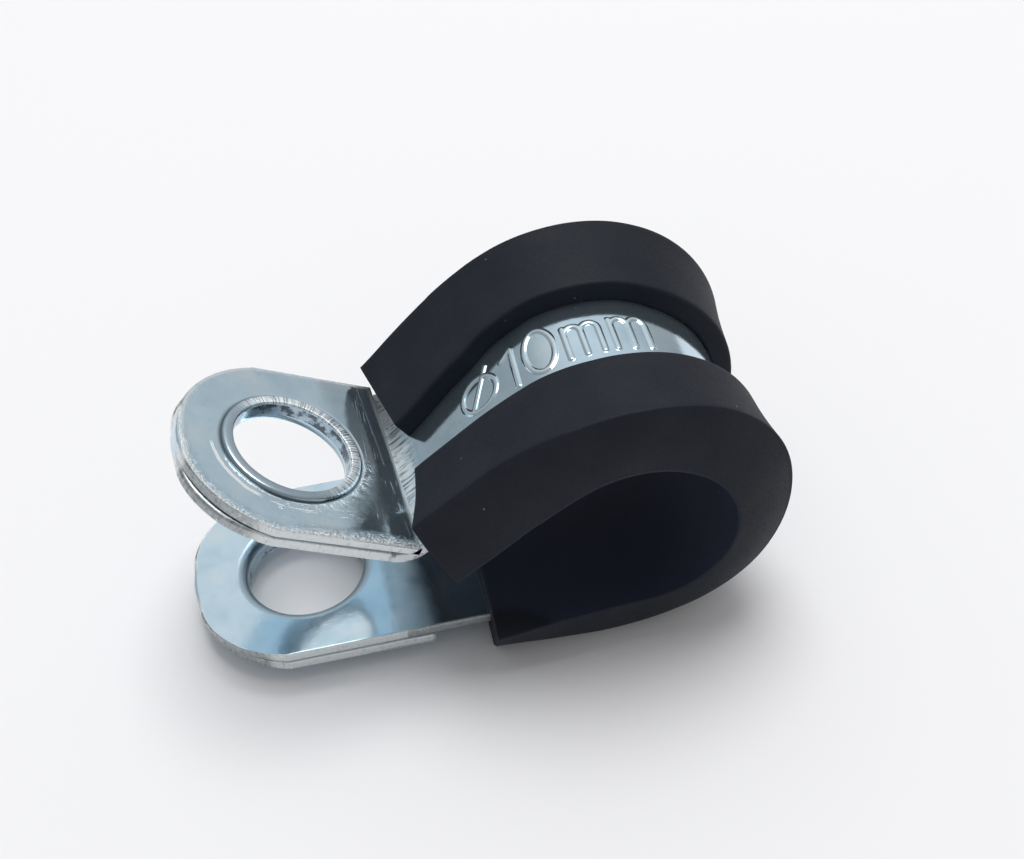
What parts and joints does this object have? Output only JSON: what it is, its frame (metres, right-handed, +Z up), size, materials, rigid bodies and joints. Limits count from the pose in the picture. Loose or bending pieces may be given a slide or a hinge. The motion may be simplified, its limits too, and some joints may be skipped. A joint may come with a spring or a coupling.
{
  "type": "rubber-lined p clip",
  "caption": "Rubber-lined P clip: a plated steel band bent to an open loop around a grooved rubber liner, its ends doubled back into rounded tabs with collared bolt holes.",
  "frame": {"origin": "centre of the pipe bore, half way along its width", "axes": "+X from the tabs to the closed end of the loop, +Y along the pipe, +Z up with the clip lying on its level lower leg"},
  "size_m": [0.032, 0.0166, 0.0174],
  "materials": {
    "strap": "bright blue-white zinc plating",
    "rubber_liner": "matte extruded"
  },
  "bodies": {
    "root": {"strap": "strap", "rubber_liner": "rubber_liner"}
  },
  "joints": []
}
